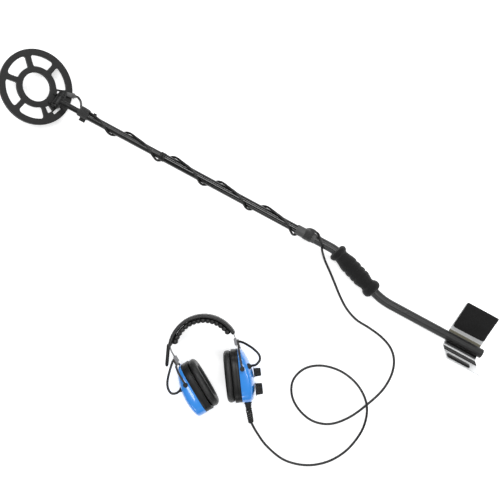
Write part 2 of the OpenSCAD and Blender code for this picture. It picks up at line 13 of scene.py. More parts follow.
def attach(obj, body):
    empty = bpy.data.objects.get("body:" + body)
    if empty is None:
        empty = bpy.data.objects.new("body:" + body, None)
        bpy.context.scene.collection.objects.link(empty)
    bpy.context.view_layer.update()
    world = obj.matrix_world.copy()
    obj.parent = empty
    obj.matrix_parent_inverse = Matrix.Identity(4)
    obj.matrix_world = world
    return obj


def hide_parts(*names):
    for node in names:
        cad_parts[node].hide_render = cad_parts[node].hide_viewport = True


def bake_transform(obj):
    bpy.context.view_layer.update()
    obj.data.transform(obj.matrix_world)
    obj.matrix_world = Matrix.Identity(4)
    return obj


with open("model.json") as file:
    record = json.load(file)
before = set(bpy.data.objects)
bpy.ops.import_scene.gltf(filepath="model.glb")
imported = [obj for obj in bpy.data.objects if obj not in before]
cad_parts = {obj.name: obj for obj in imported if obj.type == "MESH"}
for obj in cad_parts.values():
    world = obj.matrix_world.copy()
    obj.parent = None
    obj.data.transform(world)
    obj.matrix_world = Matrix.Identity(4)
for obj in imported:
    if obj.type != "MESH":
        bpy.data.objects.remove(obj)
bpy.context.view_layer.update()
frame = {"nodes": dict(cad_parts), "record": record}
scene = bpy.context.scene
MM = 0.001


# ---------------------------------------------------------------- frames and sizes

def turn(degrees, axis):
    return Matrix.Rotation(math.radians(degrees), 4, axis)


def shift(x, y, z):
    return Matrix.Translation(Vector((x, y, z)) * MM)


def put(matrix, x, y, z):
    """A point given in millimetres in a frame, in metres."""
    return matrix @ (Vector((x, y, z)) * MM)


def squared(value, power):
    """Raises the size of a sine or cosine to a power, which squares a circle off."""
    return math.copysign(abs(value) ** power, value)


def circle(count):
    return [2 * math.pi * k / count for k in range(count)]


def add_object(name, data):
    obj = bpy.data.objects.new(name, data)
    scene.collection.objects.link(obj)
    return obj


def as_mesh(obj):
    """A new mesh of an object, as its curve or modifiers leave it."""
    graph = bpy.context.evaluated_depsgraph_get()
    return bpy.data.meshes.new_from_object(obj.evaluated_get(graph))


# Search coil, in millimetres and degrees round its middle
COIL_R, COIL_T, COVER_T = 95, 12, 1.5
RING_IN, HUB_OUT, HUB_IN = 0.838 * COIL_R, 0.537 * COIL_R, 0.384 * COIL_R
COIL_SETBACK, COIL_DROP = 59, 22
GLAND_ANGLE, GLAND_REACH = 25, 101
SPOKE_W = 13
SPOKES = (84, 140, 200, 262)
SECTOR_FROM, SECTOR_TO = -42, 33
OPENINGS = (-26, 24)
EAR_IN, EAR_T = 11.2, 4

# Wand, cable and arm cuff, measured along the wand from the coil's bolt
STEM_R, MID_R, HANDLE_R, CABLE_R = 9.25, 10.5, 12, 3
CABLE_GAP = 0.6
BEND_START, BEND_R1, BEND_R2, BEND_ANGLE, BEND_RUN = 778, 80, 160, 18.7, 135
WAND_LEN = 1243
CUFF_BASE, CUFF_LEN, CUFF_WING, CUFF_FOLD, CUFF_ROLL = 44, 92, 90, 46.8, 26.8
CUFF_FLOOR = -17
BOW = math.radians(BEND_ANGLE)

# Where each part stands on the table
WAND = shift(-551, 214.5, 49.94) @ turn(1.137, "Y")
COIL = WAND @ turn(-20, "X") @ turn(28.6, "Y")
DISC = COIL @ shift(-COIL_SETBACK, 0, -COIL_DROP)
BEND_X = BEND_START + BEND_R1 * math.sin(BOW)
BEND_Y = -BEND_R1 * (1 - math.cos(BOW))
GRIP = WAND @ shift(BEND_X, BEND_Y, 0) @ turn(-BEND_ANGLE, "Z")
TAIL_Y = BEND_Y - BEND_RUN * math.sin(BOW) - BEND_R2 * (1 - math.cos(BOW))
CUFF = WAND @ shift(WAND_LEN - CUFF_LEN - 2, TAIL_Y, 0) @ turn(-CUFF_ROLL, "X")
HEADSET = shift(68, -163, 56) @ turn(38.9, "Z")
PIVOTS = {1: (87.4, -57.6), -1: (-56.2, -70.8)}
CUP_TURNS = {1: -4.5, -1: 19.9}
SIDES = {1: "right", -1: "left"}


def cup_frame(side):
    x, y = PIVOTS[side]
    return HEADSET @ shift(x, y, 0) @ turn(CUP_TURNS[side], "Z") @ Matrix.Diagonal((side, 1, 1, 1))


# Ear cups: x runs out of the head, y up the cup
CUP_MID, CUP_HALF_Y, CUP_HALF_Z = -22, 67, 50
SEAM, BACK_FRONT, PAD_FACE = -8, -24, -46
DOME_R, DOME_FRONT, DOME_MID = 160, 26, -40
KNOB_BASE = 26.3
KNOBS = {"upper": (CUP_MID + 3, 0, -115), "front": (CUP_MID - 39, 23.5, -130),
         "rear": (CUP_MID - 39, -23.5, 125)}
NUMBER_R, NUMBER_STEP, NUMBER_SIZE = 16.2, 27, 4.4
BAND_HALF, COVER_R, PAD_R = 72, 85.1, 75.4
STITCH_Z, STITCH_HALF, STITCHES = 14.4, 68, 62
CROSS_CABLE_R = 3

# Routes of the cords: the first two on the table, the last in the headset's frame
CORD_ROUTE = [(174, 231, 39), (183, 229, 48), (193, 220, 54), (203, 208, 52), (212, 197, 41),
              (223, 187, 24), (238, 175, 9), (258, 160, 3.8), (284, 139, 3.2), (311, 117, 3.2),
              (341, 97, 3.2), (376, 84, 3.2), (416, 81, 3.2), (455, 75, 3.2), (489, 61, 3.2),
              (512, 36, 3.2), (523, 0, 3.2), (521, -44, 3.2), (505, -92, 3.2), (480, -144, 3.2),
              (445, -183, 3.2), (402, -198, 3.2), (358, -190, 3.2), (323, -166, 3.2),
              (307, -130, 3.2), (318, -91, 3.2), (350, -64, 3.2), (395, -52, 3.2), (440, -56, 4),
              (478, -73, 7.5), (505, -100, 9.8), (520, -136, 7), (523, -176, 3.4),
              (512, -226, 3.2), (484, -272, 3.2), (440, -306, 3.2), (384, -321, 3.2),
              (328, -311, 3.2), (288, -292, 3.2), (262, -275, 6.8)]
RELIEF_ROUTE = [(262, -275, 6.8), (258, -269, 14), (252, -261, 28), (246, -252, 44),
                (240, -244.5, 54.5), (236, -239, 56)]
CROSS_ROUTES = {
    1: [(112, -56, 38), (122, -55, 41), (133, -46, 41), (134, -33, 38),
        (124, -18, 32), (111, -6, 24), (100, 2, 17), (90.2, 6, 12)],
    -1: [(-76, -85, 38), (-84, -88, 41), (-95, -86, 42), (-101, -75, 40),
         (-101, -60, 36), (-96, -44, 30), (-88, -26, 20), (-80.6, -11.9, 12)]}


# ---------------------------------------------------------------- camera and light

camera = add_object("camera", bpy.data.cameras.new("camera"))
camera.location = (0.051, 0.112, 2.2)
camera.rotation_euler = (0, 0, math.radians(28.3))
camera.data.lens = 61.6
camera.data.sensor_width = 36
camera.data.clip_end = 50
scene.camera = camera
scene.view_settings.view_transform = "Standard"


def lamp(name, place, aim, size, watts):
    data = bpy.data.lights.new(name, "AREA")
    data.shape = "RECTANGLE"
    data.size, data.size_y = size
    data.energy = watts
    obj = add_object(name, data)
    obj.location = place
    back = (Vector(place) - Vector(aim)).normalized()
    up = back.cross(Vector((1, 0, 0))).normalized()
    obj.rotation_euler = Matrix((up.cross(back), up, back)).transposed().to_euler()


lamp("overhead", (0, 0.3, 4.2), (0, 0, 0), (2.8, 1.0), 84)
lamp("key", (-0.1, 2.0, 1.9), (0, 0.1, 0), (2.8, 0.3), 34)
lamp("edge", (0.6, -2.1, 1.6), (0, -0.1, 0), (1.6, 0.4), 14)
scene.world = bpy.data.worlds.new("studio")
scene.world.use_nodes = True
sky = scene.world.node_tree.nodes["Background"]
sky.inputs["Color"].default_value = (0.97, 0.985, 1, 1)
sky.inputs["Strength"].default_value = 0.25


# ---------------------------------------------------------------- curves and lofts

def smooth(points, steps):
    """A Catmull-Rom curve through points, in metres."""
    knots = [Vector(q) * MM for q in points]
    last = len(knots) - 1
    out = []
    for i in range(last):
        a, b, c, d = knots[max(i - 1, 0)], knots[i], knots[i + 1], knots[min(i + 2, last)]
        for k in range(steps):
            t = k / steps
            out.append(0.5 * (2 * b + (c - a) * t + (2 * a - 5 * b + 4 * c - d) * t * t
                              + (3 * b - a - 3 * c + d) * t ** 3))
    return out + [knots[last]]


def sides_of(path):
    """Two cross directions at each point of a path, which don't twist along it."""
    last = len(path) - 1
    normal = None
    out = []
    for i in range(last + 1):
        tangent = (path[min(i + 1, last)] - path[max(i - 1, 0)]).normalized()
        if normal is None:
            normal = tangent.orthogonal()
        normal = (normal - tangent * normal.dot(tangent)).normalized()
        out.append((normal, tangent.cross(normal)))
    return out


def loft(name, rows, wrap=False, caps=True):
    """A skin over rings of points, each ring an extrusion of the last. Its UV map is in metres."""
    count = len(rows[0])
    mesh = bmesh.new()
    ring = bmesh.ops.create_circle(mesh, segments=count, radius=1)["verts"]
    edges = first = mesh.edges[:]
    place = {}
    for i, (vert, point) in enumerate(zip(ring, rows[0])):
        vert.co = point
        place[vert] = (0, i)
    for k, row in enumerate(rows[1:], 1):
        new = bmesh.ops.extrude_edge_only(mesh, edges=edges)["geom"]
        edges = [g for g in new if isinstance(g, bmesh.types.BMEdge)]
        index = {v: i for i, v in enumerate(ring)}
        grown = [None] * count
        for vert in (g for g in new if isinstance(g, bmesh.types.BMVert)):
            old = next(e.other_vert(vert) for e in vert.link_edges if e.other_vert(vert) in index)
            grown[index[old]] = vert
        for i, (vert, point) in enumerate(zip(grown, row)):
            vert.co = point
            place[vert] = (k, i)
        ring = grown
    if wrap:
        bmesh.ops.bridge_loops(mesh, edges=first + edges)
    elif caps:
        bmesh.ops.holes_fill(mesh, edges=first)
        bmesh.ops.holes_fill(mesh, edges=edges)
    bmesh.ops.recalc_face_normals(mesh, faces=mesh.faces)
    around = sum((rows[0][i] - rows[0][i - 1]).length for i in range(count)) / count
    along = sum((rows[k][0] - rows[k - 1][0]).length for k in range(1, len(rows))) / (len(rows) - 1)
    layer = mesh.loops.layers.uv.new("wrap")
    for face in mesh.faces:
        spots = [place[v] for v in face.verts]
        crosses = {0, count - 1} <= {i for _, i in spots}
        closes = {0, len(rows) - 1} <= {k for k, _ in spots} and len(rows) > 2
        for loop in face.loops:
            k, i = place[loop.vert]
            u = count if crosses and i == 0 else i
            v = len(rows) if closes and k == 0 else k
            loop[layer].uv = (u * around, v * along)
    return finish_mesh(name, mesh)


def finish_mesh(name, mesh, sharp=0.7):
    data = bpy.data.meshes.new(name)
    mesh.to_mesh(data)
    mesh.free()
    for face in data.polygons:
        face.use_smooth = True
    data.set_sharp_from_angle(angle=sharp)
    return add_object(name, data)


def sweep(name, path, radius, sides=16):
    """A round tube along a path in metres. radius is in millimetres, or a function of 0 to 1."""
    rows = []
    last = len(path) - 1
    for i, (point, (a, b)) in enumerate(zip(path, sides_of(path))):
        r = (radius(i / last) if callable(radius) else radius) * MM
        rows.append([point + r * (math.cos(t) * a + math.sin(t) * b) for t in circle(sides)])
    return loft(name, rows)


def lathe(name, profile, matrix, sides=64, flutes=0, depth=0.0, fluted=()):
    """profile is (distance along x, radius) in millimetres; the rows in fluted are scalloped."""
    rows = []
    for k, (x, r) in enumerate(profile):
        row = []
        for t in circle(sides):
            cut = depth * abs(math.sin(flutes * t / 2)) if k in fluted else 0
            row.append(put(matrix, x, (r - cut) * math.cos(t), (r - cut) * math.sin(t)))
        rows.append(row)
    return loft(name, rows)


def plate(name, outlines, thick, bevel, matrix):
    """A flat plate with holes and rounded edges, its underside on the plane z = 0 of matrix."""
    curve = bpy.data.curves.new(name, "CURVE")
    curve.dimensions = "2D"
    curve.fill_mode = "BOTH"
    for outline in outlines:
        spline = curve.splines.new("POLY")
        spline.points.add(len(outline) - 1)
        for point, (x, y) in zip(spline.points, outline):
            point.co = (x * MM, y * MM, 0, 1)
        spline.use_cyclic_u = True
    curve.extrude = (thick / 2 - bevel) * MM
    curve.bevel_depth = bevel * MM
    curve.bevel_resolution = 2
    curve.offset = -bevel * MM
    holder = add_object(name + "_outline", curve)
    mesh = bmesh.new()
    mesh.from_mesh(as_mesh(holder))
    bpy.data.objects.remove(holder)
    bmesh.ops.transform(mesh, matrix=matrix @ shift(0, 0, thick / 2), verts=mesh.verts)
    bmesh.ops.remove_doubles(mesh, verts=mesh.verts, dist=1e-6)
    bmesh.ops.recalc_face_normals(mesh, faces=mesh.faces)
    obj = finish_mesh(name, mesh)
    obj.modifiers.new("even shading", "WEIGHTED_NORMAL").keep_sharp = True
    return obj


def join(name, pieces):
    """One mesh of several pieces."""
    mesh = bmesh.new()
    for piece in pieces:
        mesh.from_mesh(piece.data)
        bpy.data.objects.remove(piece)
    return finish_mesh(name, mesh)


def corner(a, b, c, steps=6):
    """Points of a rounded corner from a to c with its tip at b."""
    out = []
    for k in range(steps + 1):
        t = k / steps
        out.append(tuple((1 - t) ** 2 * a[i] + 2 * t * (1 - t) * b[i] + t * t * c[i] for i in (0, 1)))
    return out


def rounded_box(x0, y0, x1, y1, radii):
    """A rectangle whose corners, from x0, y0 on anticlockwise, have these radii."""
    tips = [(x0, y0), (x1, y0), (x1, y1), (x0, y1)]
    out = []
    for k, tip in enumerate(tips):
        before, after = Vector(tips[k - 1]), Vector(tips[(k + 1) % 4])
        here = Vector(tip)
        out += corner(here + (before - here).normalized() * radii[k], here,
                      here + (after - here).normalized() * radii[k])
    return out


SWELL_FRAMES = 20


def puff(piece, voxel, cap, pressure):
    """Swells a closed piece as stuffing does, by a short cloth simulation."""
    remesh = piece.modifiers.new("even grid", "REMESH")
    remesh.mode = "VOXEL"
    remesh.voxel_size = voxel * MM
    even = as_mesh(piece)
    piece.modifiers.clear()
    piece.data = even
    rest = [v.co.copy() for v in even.vertices]
    cloth = piece.modifiers.new("stuffing", "CLOTH")
    cloth.settings.use_pressure = True
    cloth.settings.uniform_pressure_force = pressure
    cloth.settings.effector_weights.gravity = 0
    cloth.point_cache.frame_start = 1
    cloth.point_cache.frame_end = SWELL_FRAMES
    for f in range(1, SWELL_FRAMES + 1):
        scene.frame_set(f)
    swollen = piece.evaluated_get(bpy.context.evaluated_depsgraph_get()).data
    moved = [v.co.copy() for v in swollen.vertices]
    piece.modifiers.clear()
    scene.frame_set(1)
    for vert, old, new in zip(even.vertices, rest, moved):
        step = new - old
        if step.length > cap * MM:
            step = step.normalized() * cap * MM
        vert.co = old + step
    for face in even.polygons:
        face.use_smooth = True
    finer = piece.modifiers.new("finer", "SUBSURF")
    finer.levels = finer.render_levels = 1
    return piece


# ---------------------------------------------------------------- materials

class Value:
    """A socket whose arithmetic adds Math nodes."""

    def __init__(self, paint, socket):
        self.paint, self.socket = paint, socket

    def math(self, operation, *pair):
        return self.paint.node("ShaderNodeMath", {"operation": operation}, *pair)

    def __add__(self, other):
        return self.math("ADD", self, other)

    def __radd__(self, other):
        return self.math("ADD", other, self)

    def __sub__(self, other):
        return self.math("SUBTRACT", self, other)

    def __rsub__(self, other):
        return self.math("SUBTRACT", other, self)

    def __mul__(self, other):
        return self.math("MULTIPLY", self, other)

    def __rmul__(self, other):
        return self.math("MULTIPLY", other, self)


class Paint:
    """A procedural material. Constants go on its sockets, and what varies is a Value."""

    def __init__(self, name, rough=0.5, metallic=0.0, coat=0.0, sheen=0.0, specular=0.5):
        self.material = bpy.data.materials.new(name)
        self.material.use_nodes = True
        self.tree = self.material.node_tree
        self.shader = self.tree.nodes["Principled BSDF"]
        for socket, value in (("Roughness", rough), ("Metallic", metallic), ("Coat Weight", coat),
                              ("Sheen Weight", sheen), ("Specular IOR Level", specular)):
            self.shader.inputs[socket].default_value = value
        self.place = self.node("ShaderNodeTexCoord", out="Object")
        self.wrap = self.node("ShaderNodeTexCoord", out="UV")

    def node(self, kind, settings=None, *values, out=0, **named):
        made = self.tree.nodes.new(kind)
        for key, value in (settings or {}).items():
            if key == "stops":
                for stop, (where, colour) in zip(made.color_ramp.elements, value):
                    stop.position = where
                    stop.color = colour
            else:
                setattr(made, key, value)
        for key, value in [*enumerate(values), *named.items()]:
            socket = made.inputs[key]
            if isinstance(value, Value):
                self.tree.links.new(value.socket, socket)
            else:
                socket.default_value = value
        return Value(self, made.outputs[out])

    def noise(self, scale, detail=3.0, rough=0.5, at=None):
        return self.node("ShaderNodeTexNoise", {}, Vector=at or self.place, Scale=scale,
                         Detail=detail, Roughness=rough)

    def cells(self, scale, at=None):
        return self.node("ShaderNodeTexVoronoi", {}, Vector=at or self.place, Scale=scale)

    def bands(self, scale, direction="X", at=None):
        return self.node("ShaderNodeTexWave", {"bands_direction": direction}, Vector=at or self.place,
                         Scale=scale)

    def stretch(self, matrix, factors):
        """Object coordinates turned into a frame of the object, then scaled."""
        rotation = matrix.to_3x3().inverted().to_euler()
        turned = self.node("ShaderNodeMapping", {}, self.place, Rotation=rotation)
        return self.node("ShaderNodeMapping", {}, turned, Scale=factors)

    def above(self, value, low, high):
        """0 below low and 1 above high."""
        return self.node("ShaderNodeMapRange", {"interpolation_type": "SMOOTHSTEP"}, value, low, high)

    def mix(self, factor, first, second):
        made = self.tree.nodes.new("ShaderNodeMix")
        made.data_type = "RGBA"
        for key, value in ((0, factor), (6, first), (7, second)):
            if isinstance(value, Value):
                self.tree.links.new(value.socket, made.inputs[key])
            else:
                made.inputs[key].default_value = value
        return Value(self, made.outputs[2])

    def set(self, **values):
        names = {"colour": "Base Color", "rough": "Roughness", "normal": "Normal",
                 "metallic": "Metallic"}
        for key, value in values.items():
            self.tree.links.new(value.socket, self.shader.inputs[names[key]])
        return self.material

    def bump(self, height, depth_mm, strength=1.0):
        return self.node("ShaderNodeBump", {}, Strength=strength, Distance=depth_mm * MM, Height=height)


def grey(level, tint=(1, 1, 1)):
    return (level * tint[0], level * tint[1], level * tint[2], 1)


def scaled(colour, factor):
    return tuple(c * factor for c in colour[:3]) + (1,)


def moulded(name, colour, rough=0.5, grain=900, depth=0.05, coat=0.0):
    """Moulded plastic: fine spark-eroded grain, with faint handling marks."""
    paint = Paint(name, coat=coat, specular=0.25)
    blotch = paint.above(paint.noise(14, 4), 0.35, 0.7)
    fine = paint.noise(grain, 2)
    scuff = paint.above(paint.noise(60, 6, 0.7), 0.56, 0.72)
    tone = paint.mix(blotch, scaled(colour, 0.88), scaled(colour, 1.12))
    tone = paint.mix(scuff * 0.25, tone, scaled(colour, 1.7))
    return paint.set(colour=tone, rough=rough - 0.06 * scuff + 0.08 * blotch,
                 normal=paint.bump(fine, depth))


def coated(name, colour, rough, orange_peel, scuffs=0.3, specular=0.3):
    """A painted or powder-coated tube, with fine scratches that run along the wand."""
    paint = Paint(name, specular=specular)
    along = paint.stretch(WAND, (6, 160, 160))
    scratch = paint.above(paint.noise(9, 5, 0.6, along), 0.62, 0.7)
    speck = paint.noise(1500, 2)
    cloud = paint.noise(18, 4)
    tone = paint.mix(cloud, scaled(colour, 0.85), scaled(colour, 1.15))
    tone = paint.mix(scratch * scuffs, tone, scaled(colour, 2.6))
    height = speck * 0.7 + paint.noise(320, 2) * 0.3
    return paint.set(colour=tone, rough=rough + 0.12 * scratch + 0.05 * cloud,
                 normal=paint.bump(height, orange_peel))


def brushed(name, colour, rough, frame_of, metallic=1.0):
    """Bare metal with a brushed grain."""
    paint = Paint(name, metallic=metallic)
    line = paint.noise(12, 6, 0.7, paint.stretch(frame_of, (4, 220, 220)))
    cloud = paint.noise(25, 3)
    tone = paint.mix(line, scaled(colour, 0.86), scaled(colour, 1.08))
    return paint.set(colour=tone, rough=rough + 0.16 * line + 0.06 * cloud,
                 normal=paint.bump(line, 0.03))


def foam(name, colour, rough=0.9):
    """Closed-cell foam: an open skin of small cells."""
    paint = Paint(name, sheen=0.15, specular=0.25)
    cell = paint.cells(700)
    pores = paint.above(paint.noise(420, 4, 0.6), 0.45, 0.65)
    worn = paint.above(paint.noise(30, 4), 0.5, 0.75)
    tone = paint.mix(pores, scaled(colour, 0.7), scaled(colour, 1.2))
    tone = paint.mix(worn * 0.3, tone, scaled(colour, 1.8))
    return paint.set(colour=tone, rough=rough + 0.06 * pores, normal=paint.bump(cell + pores * 0.6, 0.25))


def webbing(name, colour, pitch=1400, depth=0.25):
    """Woven hook-and-loop tape, which follows the strap by its UV map."""
    paint = Paint(name, sheen=0.3, specular=0.2)
    warp = paint.bands(pitch / 6.283, "X", paint.wrap)
    weft = paint.bands(pitch / 6.283, "Y", paint.wrap)
    fuzz = paint.noise(1100, 3, 0.7)
    thread = warp * weft + fuzz * 0.5
    tone = paint.mix(paint.above(thread, 0.2, 0.9), scaled(colour, 0.55), scaled(colour, 1.35))
    return paint.set(colour=tone, rough=0.82 + 0.1 * fuzz, normal=paint.bump(thread, depth))


def vinyl(name, colour, rough=0.42):
    """Soft vinyl leather with pebbled grain and stretch creases."""
    paint = Paint(name, specular=0.45)
    pebble = paint.node("ShaderNodeTexVoronoi", {"feature": "DISTANCE_TO_EDGE"}, Vector=paint.place,
                        Scale=650.0)
    grain = paint.above(pebble, 0.0, 0.25)
    crease = paint.above(paint.noise(75, 5, 0.65), 0.55, 0.68)
    tone = paint.mix(grain, scaled(colour, 0.6), scaled(colour, 1.1))
    tone = paint.mix(crease * 0.35, tone, scaled(colour, 1.6))
    return paint.set(colour=tone, rough=rough + 0.1 * crease - 0.08 * grain,
                 normal=paint.bump(grain + crease * 0.4, 0.12))


def rubber(name, colour, rough=0.55):
    """Smooth rubber with a faint bloom."""
    paint = Paint(name, specular=0.4)
    bloom = paint.above(paint.noise(45, 5, 0.6), 0.45, 0.75)
    tone = paint.mix(bloom, scaled(colour, 0.85), scaled(colour, 1.7))
    return paint.set(colour=tone, rough=rough + 0.18 * bloom, normal=paint.bump(paint.noise(1300, 2), 0.04))


def gloss_shell(name, colour):
    """High-gloss coloured plastic with faint flow marks and dust."""
    paint = Paint(name, coat=0.6)
    paint.shader.inputs["Coat Roughness"].default_value = 0.05
    flow = paint.noise(7, 2)
    dust = paint.above(paint.noise(900, 3, 0.7), 0.66, 0.74)
    tone = paint.mix(flow, scaled(colour, 0.92), scaled(colour, 1.08))
    tone = paint.mix(dust * 0.12, tone, (0.7, 0.8, 0.9, 1))
    return paint.set(colour=tone, rough=0.2 + 0.1 * dust + 0.04 * flow,
                     normal=paint.bump(paint.noise(55, 1), 0.02))


def printed(name, colour):
    """Ink or film: nearly flat, with a slight mottle."""
    paint = Paint(name)
    mottle = paint.noise(500, 3)
    tone = paint.mix(mottle, scaled(colour, 0.93), scaled(colour, 1.03))
    return paint.set(colour=tone, rough=0.4 + 0.1 * mottle, normal=paint.bump(mottle, 0.01))


def wound_wire(name, colour):
    """Enamelled wire, wound round the coil's own axis."""
    paint = Paint(name, metallic=0.9)
    radial = paint.node("ShaderNodeVectorMath", {"operation": "LENGTH"}, paint.stretch(DISC, (1, 1, 1)),
                        out="Value")
    turns = paint.node("ShaderNodeMath", {"operation": "SINE"}, radial * 9000)
    mottle = paint.noise(60, 3)
    tone = paint.mix(mottle, scaled(colour, 0.8), scaled(colour, 1.15))
    return paint.set(colour=tone, rough=0.3 + 0.15 * mottle, normal=paint.bump(turns, 0.2))


LOOKS = {
    "coil_plastic": moulded("coil_plastic", grey(0.019), 0.5, 700, 0.06),
    "cover_plastic": moulded("cover_plastic", grey(0.015), 0.5),
    "copper": wound_wire("copper", (0.72, 0.36, 0.18, 1)),
    "label": printed("label", grey(0.86)),
    "grey_plastic": moulded("grey_plastic", grey(0.12), 0.45),
    "black_plastic": moulded("black_plastic", grey(0.012), 0.34, 1100, 0.04),
    "stem_coat": coated("stem_coat", grey(0.008), 0.3, 0.05, 0.3, 0.5),
    "tube_gloss": coated("tube_gloss", grey(0.004), 0.13, 0.01, 0.1, 0.5),
    "handle_coat": coated("handle_coat", grey(0.016), 0.34, 0.06, 0.3, 0.5),
    "collar_grey": moulded("collar_grey", grey(0.07), 0.38),
    "strap_weave": webbing("strap_weave", grey(0.04)),
    "foam": foam("foam", grey(0.011)),
    "rubber": rubber("rubber", grey(0.012)),
    "bare_aluminium": brushed("bare_aluminium", (0.93, 0.94, 0.95, 1), 0.3, WAND, 0.3),
    "steel": brushed("steel", (0.2, 0.2, 0.21, 1), 0.42, HEADSET),
    "cord_jacket": rubber("cord_jacket", grey(0.008), 0.36),
    "band_leather": vinyl("band_leather", grey(0.017), 0.44),
    "yoke_paint": coated("yoke_paint", (0.03, 0.027, 0.025, 1), 0.4, 0.04),
    "blue_gloss": gloss_shell("blue_gloss", (0.035, 0.27, 0.80, 1)),
    "pad_leather": vinyl("pad_leather", grey(0.012), 0.4),
    "knob_black": moulded("knob_black", grey(0.01), 0.36, 1300, 0.03),
    "speaker": moulded("speaker", grey(0.06), 0.8, 500, 0.1),
    "board": moulded("board", (0.02, 0.16, 0.06, 1), 0.3),
    "battery": brushed("battery", (0.5, 0.5, 0.52, 1), 0.35, WAND, 0.8),
}
SLOT_OF = {s["node"]: s["material_slot"] for s in frame["record"]["subparts"]}
for node, obj in frame["nodes"].items():
    obj.data.materials.clear()
    obj.data.materials.append(LOOKS[SLOT_OF[node]])
WHITE_INK = printed("white_ink", grey(0.9))
DARK_INK = printed("dark_ink", grey(0.015))
KHAKI = webbing("khaki_tape", (0.3, 0.28, 0.21, 1))


def dress(piece, body, slot, *nodes, look=None):
    """Gives a finished piece its material and slot, lets it ride, and hides what it stands for."""
    piece.data.materials.clear()
    piece.data.materials.append(look or LOOKS[slot])
    if body:
        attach(piece, body)
    if nodes:
        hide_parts(*nodes)
    return piece


# ---------------------------------------------------------------- table

mesh = bmesh.new()
bmesh.ops.create_grid(mesh, x_segments=1, y_segments=1, size=6)
floor = finish_mesh("floor", mesh)
floor.location = (0, 0, -0.0002)
table_paint = Paint("table_top", rough=0.9, specular=0.1)
table_paint.shader.inputs["Emission Color"].default_value = (1, 1, 1, 1)
table_paint.shader.inputs["Emission Strength"].default_value = 0.45
mottle = table_paint.noise(3, 2)
floor.data.materials.append(table_paint.set(colour=table_paint.mix(mottle, grey(0.93), grey(0.96))))


# ---------------------------------------------------------------- cords

def curve_piece(name, path, radius):
    curve = bpy.data.curves.new(name, "CURVE")
    curve.dimensions = "3D"
    curve.bevel_depth = radius * MM
    curve.bevel_resolution = 5
    curve.use_fill_caps = True
    spline = curve.splines.new("POLY")
    spline.points.add(len(path) - 1)
    for point, place in zip(spline.points, path):
        point.co = (*place, 1)
    return add_object(name, curve)


def length_of(path):
    return sum((b - a).length for a, b in zip(path, path[1:]))


POINTS_A_TURN = 20


def spiral(path, pitch, radius, end_radius):
    """A helix round a path, its radius changing evenly along it."""
    steps = int(length_of(path) / (pitch * MM) * POINTS_A_TURN)
    frames = sides_of(path)
    out = []
    for k in range(steps + 1):
        at = k / steps * (len(path) - 1)
        i = min(int(at), len(path) - 2)
        f = at - i
        centre = path[i].lerp(path[i + 1], f)
        a, b = (frames[i][j].lerp(frames[i + 1][j], f) for j in (0, 1))
        angle = 2 * math.pi * k / POINTS_A_TURN
        r = (radius + (end_radius - radius) * k / steps) * MM
        out.append(centre + r * (math.cos(angle) * a + math.sin(angle) * b))
    return out


relief_path = smooth(RELIEF_ROUTE, 8)
cord_path = smooth(CORD_ROUTE, 8) + relief_path[1:]
cord = dress(curve_piece("free_cord_jacket", cord_path, CABLE_R), "handle", "cord_jacket", "free_cord")
relief = dress(sweep("relief_spiral", spiral(relief_path, 9.2, 5.4, 6.4), 1.8, 10), "handle", "rubber",
               "spiral_relief")
round(length_of(cord_path), 3)


def ramp(s, table):
    """A straight-line lookup in (place, value) pairs."""
    if s <= table[0][0]:
        return table[0][1]
    for (a, u), (b, v) in zip(table, table[1:]):
        if s <= b:
            return u + (v - u) * (s - a) / (b - a)
    return table[-1][1]


WINDING_START, WINDING_PITCH, WINDING_SPLIT, WINDING_SWAY = 66, 131, 542, 41
TUBE_STEPS = [(280, STEM_R), (288, STEM_R + 2.1), (306, STEM_R + 2.1), (314, MID_R), (664, MID_R),
              (680, HANDLE_R + 1)]


def cable_angle(s):
    """Where round the wand the cable lies, in radians, s along it."""
    around = 2 * math.pi * (s - WINDING_START) / WINDING_PITCH
    return around - math.radians(WINDING_SWAY) * (1 - math.cos(around))


def wind_point(s):
    angle = cable_angle(s)
    r = CABLE_R + CABLE_GAP + ramp(s, TUBE_STEPS)
    return put(WAND, s, r * math.cos(angle), r * math.sin(angle))


def winding(start, end):
    """The cable's path between two places along the wand, a point every 3 mm."""
    count = round((end - start) / 3)
    return [wind_point(start + k * (end - start) / count) for k in range(count + 1)]


STRAP_FRONT, STRAP_LEN = 58, 27
REAR_STRAP, REAR_STRAP_LEN = 703, 22


def on_wand(s):
    return put(WAND, s, 0, 0)


wound_front = dress(sweep("wound_cable_front_jacket", winding(STRAP_FRONT, WINDING_SPLIT), CABLE_R),
                    None, "cord_jacket", "wound_cable_front")
on_wand(90)
on_wand(520)
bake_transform(wound_front)
rear_path = winding(WINDING_SPLIT, REAR_STRAP + REAR_STRAP_LEN - 6) + [cord_path[0]]
wound_rear = dress(sweep("wound_cable_rear_jacket", rear_path, CABLE_R), None, "cord_jacket",
                   "wound_cable_rear")
on_wand(548)
on_wand(695)
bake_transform(wound_rear)

gland = DISC @ turn(GLAND_ANGLE, "Z") @ shift(GLAND_REACH, 0, COIL_T / 2 + 5.5)
lead_points = [put(gland, -2, 0, 0), put(gland, 6, 0, 0)]
lead_points += [put(WAND, *p) for p in ((37, 29.5, -41), (44, 25, -32), (50, 20, -20), (55, 14.5, -9))]
lead_points += winding(STRAP_FRONT, STRAP_FRONT + 6)
lead_path = smooth([p / MM for p in lead_points], 6)
lead = dress(sweep("coil_lead_jacket", lead_path, CABLE_R), None, "cord_jacket", "coil_lead")
on_wand(60)
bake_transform(lead)


# ---------------------------------------------------------------- search coil

def polar(r, degrees):
    return (r * math.cos(math.radians(degrees)), r * math.sin(math.radians(degrees)))


